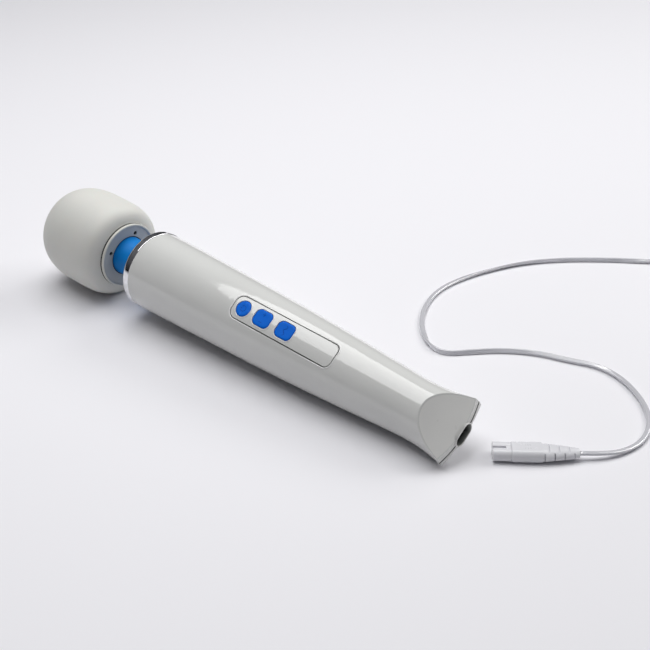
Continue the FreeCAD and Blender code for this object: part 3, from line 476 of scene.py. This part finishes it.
def build_panel_edges():
    """Lines round the casing's opening, the panel and each button; those round the opening and the
    buttons are painted lighter than the casing as highlight.
    """
    shell = outer_surface("front_shell")
    panel = outer_surface("control_panel")
    length = PANEL_END - PANEL_START
    shell_reach = 2 * PANEL_GAP + EDGE_REACH
    outline = rounded_outline(length + shell_reach, PANEL_WIDTH + shell_reach,
                              PANEL_CORNER + shell_reach / 2)
    bead_on("panel_opening_edge", shell, outline, PANEL_MIDDLE, 0.16, 0.42, EDGE_HIGHLIGHT)
    outline = rounded_outline(length - 0.6, PANEL_WIDTH - 0.6, PANEL_CORNER - 0.3)
    bead_on("panel_edge", panel, outline, PANEL_MIDDLE, 0.24, 0.3, CASING)
    for name, (size_x, size_y, corner) in BUTTON_SIZES.items():
        reach = 2 * BUTTON_CLEARANCE + EDGE_REACH
        outline = rounded_outline(size_x + reach, size_y + reach, corner + reach / 2)
        bead_on(f"{name}_button_surround", panel, outline, BUTTON_PLACES[name], 0.1, 0.36, EDGE_HIGHLIGHT)


def build_button_caps():
    """Smooth caps with a rolled edge and a slight dish for the fingertip."""
    profile = [(1.0, -1.6), (1.0, -0.15), (0.99, 0.12), (0.965, 0.32), (0.93, 0.46), (0.88, 0.55),
               (0.8, BUTTON_PROUD), (0.6, BUTTON_PROUD - 0.02), (0.4, BUTTON_PROUD - 0.06),
               (0.2, BUTTON_PROUD - 0.09)]
    for name, (size_x, size_y, corner) in BUTTON_SIZES.items():
        place = button_matrix(name)
        outline = rounded_outline(size_x, size_y, corner)
        count = len(outline)
        vertices = []
        faces = []
        for scale, height in profile:
            vertices += [place @ (Vector((x * scale, y * scale, height)) * MM) for x, y in outline]
        vertices.append(place @ (Vector((0, 0, BUTTON_PROUD - 0.1)) * MM))
        for ring in range(len(profile) - 1):
            faces += band_faces(ring, ring + 1, count)
        last = (len(profile) - 1) * count
        middle = len(vertices) - 1
        faces += [(last + step, last + (step + 1) % count, middle) for step in range(count)]
        cap_name = f"{name}_button_cap"
        cap = new_piece(cap_name, mesh_from(cap_name, vertices, faces), BUTTON)
        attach(cap, f"{name}_button")
        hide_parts(f"{name}_button")


def stroke(name, button, points):
    """One line of a symbol, half sunk into the button's top, from points in millimetres."""
    place = button_matrix(button)
    places = [place @ (Vector((x, y, BUTTON_PROUD - 0.09)) * MM) for x, y in points]
    round_line(name, places, SYMBOL_RADIUS, SYMBOL, f"{button}_button", resolution=2)


def build_symbols():
    """Generic signs for power, level and pattern: the photograph's own are too faint to read."""
    ring = [(1.7 * math.cos(math.radians(angle)), 1.7 * math.sin(math.radians(angle)))
            for angle in range(-145, 146, 10)]
    stroke("power_symbol_ring", "power", ring)
    stroke("power_symbol_bar", "power", [(-2.4, 0), (-0.7, 0)])
    stroke("level_symbol_plus_bar", "level", [(-1.1, 2.4), (1.1, 2.4)])
    stroke("level_symbol_plus_post", "level", [(0, 1.3), (0, 3.5)])
    stroke("level_symbol_minus", "level", [(-1.1, -2.4), (1.1, -2.4)])
    wave = [(0.9 * math.sin(step * math.pi / 4), -3.0 + 0.5 * step) for step in range(13)]
    stroke("pattern_symbol_wave", "pattern", wave)


# ---------------------------------------------------------------- tail and charging inlet
TAIL_END = 329.4
TAIL_LIP = 0.4
TAIL_HALF_WIDTH = 19.65
TAIL_BULGE = 3.0
PARTING = -1.5
INLET_HEIGHT = -1.5
INLET_WIDTH = 13.0
INLET_TALL = 7.2
INLET_WALL = 0.7
INLET_SKIN_START = 318.0
SHADOW_LINE_STEPS = 24


def tail_edge(y, back_off=0.0):
    """How far along the tail's bulging end reaches at a distance across."""
    radius = (TAIL_HALF_WIDTH ** 2 + TAIL_BULGE ** 2) / (2 * TAIL_BULGE)
    return TAIL_END - back_off - radius + math.sqrt(radius ** 2 - y ** 2)


def build_tail_details():
    """A dark line painted as shadow along the parting step under the facet's foot, and the rolled
    rim of the inlet.
    """
    half = INLET_WIDTH / 2 + INLET_WALL
    for side, name in ((-1, "near"), (1, "far")):
        places = []
        for step in range(SHADOW_LINE_STEPS + 1):
            reach = (TAIL_HALF_WIDTH - 0.5 - half) * step / SHADOW_LINE_STEPS
            y = side * (half + 0.2 + reach)
            places.append(wand_point(tail_edge(y, TAIL_LIP) + 0.02, y, PARTING + 0.12))
        # painted shadow: a dark line in the parting step at the tail's end
        round_line(f"tail_painted_shadow_line_{name}", places, 0.22, SEAL_AND_SHADE, "handle")
    length = INLET_WIDTH + INLET_WALL
    tall = INLET_TALL + INLET_WALL
    ring = [wand_point(INLET_MOUTH - 0.02, y, INLET_HEIGHT + z)
            for y, z in rounded_outline(length, tall, tall / 2)]
    rim_radius = INLET_WALL / 2 + 0.02
    round_line("inlet_rim", ring, rim_radius, FACET, "handle", resolution=3, closed=True)
    build_inlet_collar()


def build_inlet_collar():
    """The satin skin of the socket where it stands out of the facet."""
    start = INLET_SKIN_START
    end = INLET_MOUTH - 0.1
    vertices = []
    corners = ((0.04, start), (0.04, end), (-0.35, end), (-0.35, start))
    for grow, x in corners:
        long = INLET_WIDTH + 2 * (INLET_WALL + grow)
        tall = INLET_TALL + 2 * (INLET_WALL + grow)
        outline = rounded_outline(long, tall, tall / 2)
        vertices += [wand_point(x, y, INLET_HEIGHT + z) for y, z in outline]
    count = len(vertices) // len(corners)
    faces = []
    for band in range(len(corners)):
        faces += band_faces(band, (band + 1) % len(corners), count)
    collar = new_piece("inlet_collar", mesh_from("inlet_collar", vertices, faces), FACET)
    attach(collar, "handle")


# ---------------------------------------------------------------- charging lead
CORD_WIDTH = 3.2
CORD_TALL = 1.7
LEAD_ROUTE = [
    (208.8, 42.5, 3.6), (216.0, 48.6, 3.6), (223.2, 59.5, 2.2), (226.4, 74.0, 1.6),
    (223.0, 90.0, 1.6), (213.6, 104.5, 1.6), (199.0, 117.0, 1.6), (182.5, 125.5, 1.6),
    (166.5, 127.5, 1.6), (150.0, 120.8, 1.6), (133.0, 116.0, 1.6), (115.5, 104.5, 1.6),
    (101.8, 89.0, 1.6), (93.5, 79.0, 1.6), (83.5, 77.6, 1.6), (73.0, 83.5, 1.6),
    (58.5, 97.0, 1.6), (46.5, 116.0, 1.6), (39.6, 138.0, 1.6), (40.8, 161.0, 1.6),
    (47.5, 185.0, 1.6), (58.5, 209.5, 1.6), (75.5, 230.5, 1.6), (96.5, 249.5, 1.6),
    (120.5, 268.0, 1.6), (134.8, 281.5, 1.6),
]
TAIL_ROUTE = [(184.5, 281.5, 10.8), (193.5, 273.8, 11.0), (200.5, 263.0, 11.0)]
COIL_CENTRE = (160.6, 277.9)
COIL_RINGS = (19.7, 16.5)
COIL_START = 131.0
COIL_TURNS = 8.2
COIL_STEPS_PER_TURN = 18
DOT_RADIUS = 0.36


def coil_points():
    """A little over eight flat turns in four layers, wound clockwise, in and out by turns."""
    layers = []
    for layer in range(4):
        rings = COIL_RINGS if layer % 2 == 0 else COIL_RINGS[::-1]
        layers += [(ring, 1.6 + 3.2 * layer) for ring in rings]
    layers.append(layers[-1])
    per_turn = COIL_STEPS_PER_TURN
    points = []
    for step in range(int(COIL_TURNS * per_turn)):
        turn, share = divmod(step / per_turn, 1.0)
        now = layers[int(turn)]
        after = layers[min(int(turn) + 1, len(layers) - 1)]
        ease = min(1.0, max(0.0, (share - 0.7) / 0.3))
        ease = ease * ease * (3 - 2 * ease)
        radius = (now[0] + (after[0] - now[0]) * ease) / math.cos(math.pi / per_turn) ** 0.5
        angle = math.radians(COIL_START - 360 * step / per_turn)
        points.append((COIL_CENTRE[0] + radius * math.cos(angle),
                       COIL_CENTRE[1] + radius * math.sin(angle),
                       now[1] + (after[1] - now[1]) * ease))
    return points


def spline_line(points):
    """Points along the smooth NURBS line whose control points are given in millimetres."""
    curve = bpy.data.curves.new("lead_line", "CURVE")
    curve.dimensions = "3D"
    curve.resolution_u = 8
    spline = curve.splines.new("NURBS")
    spline.points.add(len(points) - 1)
    for point, place in zip(spline.points, points):
        point.co = (*(Vector(place) * MM), 1)
    spline.order_u = 3
    spline.use_endpoint_u = True
    holder = bpy.data.objects.new("lead_line", curve)
    line = bpy.data.meshes.new_from_object(holder)
    places = [vertex.co.copy() for vertex in line.vertices]
    bpy.data.objects.remove(holder)
    bpy.data.curves.remove(curve)
    bpy.data.meshes.remove(line)
    return places


def twin_section():
    """The cord's cross-section: two round cores side by side with a shallow valley between."""
    radius = CORD_TALL / 2
    centre = CORD_WIDTH / 2 - radius
    points = []
    for side in (1, -1):
        for step in range(9):
            angle = math.radians(-112 + 28 * step) if side > 0 else math.radians(68 + 28 * step)
            points.append((side * centre + radius * math.cos(angle), radius * math.sin(angle)))
    return points


def build_connector_dots():
    """Two short rows of raised grip dots on the connector's shell."""
    shell = outer_surface("connector_shell")
    insert = frame["nodes"]["connector_insert"]
    front = sum((Vector(corner) for corner in insert.bound_box), Vector()) / 8
    along = Vector(LEAD_ROUTE[1]) - Vector(LEAD_ROUTE[0])
    along = Vector((along.x, along.y, 0)).normalized()
    across = Vector((-along.y, along.x, 0))
    for row in (-1, 1):
        for column in range(3):
            offset = along * (12.4 + 1.3 * column) + across * (1.5 * row)
            start = insert.matrix_world @ front + offset * MM + Vector((0, 0, 0.03))
            hit, _, _, _ = shell.ray_cast(start, Vector((0, 0, -1)))
            if hit is None:
                continue
            bpy.ops.mesh.primitive_uv_sphere_add(segments=16, ring_count=8, radius=DOT_RADIUS * MM,
                                                 location=hit)
            dot = bpy.context.active_object
            dot.scale = (1, 1, 0.5)
            dot.name = f"grip_dot_{'near' if row < 0 else 'far'}_{column}"
            dot.data.materials.append(LEAD)
            for polygon in dot.data.polygons:
                polygon.use_smooth = True
            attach(dot, "handle")


# the flat cord's twist: millimetres along it, and degrees
TWISTS = [(0, 0), (90, 0), (150, 35), (215, 70), (245, 180), (300, 180), (420, 270), (470, 360),
          (520, 360)]


def twist_at(distance):
    """How far the flat cord is turned about its own line, in degrees, some millimetres along."""
    for (start, low), (end, high) in zip(TWISTS, TWISTS[1:]):
        if start <= distance <= end:
            share = (distance - start) / (end - start)
            return low + (high - low) * share * share * (3 - 2 * share)
    return TWISTS[-1][1]


def build_cord():
    """The whole cord as one piece: the visible loops, the coil and the end at the adapter."""
    places = spline_line(LEAD_ROUTE + coil_points() + TAIL_ROUTE)
    section = twin_section()
    vertices = []
    faces = []
    distance = 0.0
    for index, place in enumerate(places):
        before = places[max(index - 1, 0)]
        after = places[min(index + 1, len(places) - 1)]
        heading = (after - before).normalized()
        sideways = heading.cross(Vector((0, 0, 1))).normalized()
        upward = sideways.cross(heading).normalized()
        distance += (place - before).length / MM
        turn = math.radians(twist_at(distance))
        for across, height in section:
            u = across * math.cos(turn) - height * math.sin(turn)
            v = across * math.sin(turn) + height * math.cos(turn)
            vertices.append(place + (sideways * u + upward * v) * MM)
    count = len(section)
    for ring in range(len(places) - 1):
        faces += band_faces(ring, ring + 1, count)
    faces.append(tuple(range(count)))
    faces.append(tuple((len(places) - 1) * count + step for step in reversed(range(count))))
    cord = new_piece("charging_lead", mesh_from("charging_lead", vertices, faces), CORD)
    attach(cord, "handle")
    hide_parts("lead_cord", "lead_coil", "lead_tail")


# ---------------------------------------------------------------- stage, lights, camera
CAMERA_PLACE = Vector((0.48854, -0.45726, 0.39725))
CAMERA_AZIMUTH = 42.64
CAMERA_ELEVATION = 29.61
FOCAL_SHARE = 2.0  # focal length over sensor width
FLOOR_HALF = 6.0


def build_camera():
    """The camera at the photograph's viewing angle."""
    azimuth = math.radians(CAMERA_AZIMUTH)
    elevation = math.radians(CAMERA_ELEVATION)
    back = Vector((math.sin(azimuth) * math.cos(elevation),
                   -math.cos(azimuth) * math.cos(elevation), math.sin(elevation)))
    right = Vector((math.cos(azimuth), math.sin(azimuth), 0))
    upward = back.cross(right)
    data = bpy.data.cameras.new("camera")
    data.sensor_width = 36.0
    data.lens = data.sensor_width * FOCAL_SHARE
    data.clip_start = 0.01
    data.clip_end = 50
    camera = bpy.data.objects.new("camera", data)
    turn = Matrix((right, upward, back)).transposed().to_4x4()
    camera.matrix_world = Matrix.Translation(CAMERA_PLACE) @ turn
    bpy.context.scene.collection.objects.link(camera)
    bpy.context.scene.camera = camera


def build_floor():
    material, _, shader = shader_nodes("floor")
    set_inputs(shader, Base_Color=(0.855, 0.85, 0.88, 1), Roughness=0.6)
    size = FLOOR_HALF
    corners = [(-size, -size, 0), (size, -size, 0), (size, size, 0), (-size, size, 0)]
    mesh = mesh_from("floor", corners, [(0, 1, 2, 3)])
    floor = new_piece("floor", mesh, material, smooth=False)


def area_light(name, place, target, width, height, power, color=(1, 1, 1)):
    data = bpy.data.lights.new(name, "AREA")
    data.shape = "RECTANGLE"
    data.size = width
    data.size_y = height
    data.energy = power
    data.color = color
    light = bpy.data.objects.new(name, data)
    light.location = place
    direction = Vector(target) - Vector(place)
    light.rotation_euler = direction.to_track_quat("-Z", "Y").to_euler()
    bpy.context.scene.collection.objects.link(light)


def build_world():
    """A dark studio whose ceiling is a little brighter than its walls."""
    world = bpy.data.worlds.new("studio")
    world.use_nodes = True
    tree = world.node_tree
    where = tree.nodes.new("ShaderNodeTexCoord")
    split = tree.nodes.new("ShaderNodeSeparateXYZ")
    ramp = tree.nodes.new("ShaderNodeValToRGB")
    ramp.color_ramp.elements[0].position = 0.05
    ramp.color_ramp.elements[0].color = (0.015, 0.015, 0.018, 1)
    ramp.color_ramp.elements[1].position = 0.95
    ramp.color_ramp.elements[1].color = (0.16, 0.16, 0.17, 1)
    tree.links.new(where.outputs["Generated"], split.inputs["Vector"])
    tree.links.new(split.outputs["Z"], ramp.inputs["Fac"])
    tree.links.new(ramp.outputs["Color"], tree.nodes["Background"].inputs["Color"])
    bpy.context.scene.world = world


def build_lights():
    build_world()
    area_light("overhead_softbox", (-0.27, 0.06, 1.14), (-0.22, 0.06, 0), 1.3, 0.92, 12.7)
    area_light("far_softbox", (0.45, 1.35, 1.05), (0.0, 0.05, 0), 1.4, 0.8, 13.0,
               (1.0, 0.995, 0.985))


def main():
    build_camera()
    build_floor()
    build_lights()
    build_head()
    build_neck()
    build_collar()
    build_panel_edges()
    build_button_caps()
    build_symbols()
    build_tail_details()
    build_connector_dots()
    build_cord()
    bpy.context.scene.view_settings.view_transform = "Standard"


main()
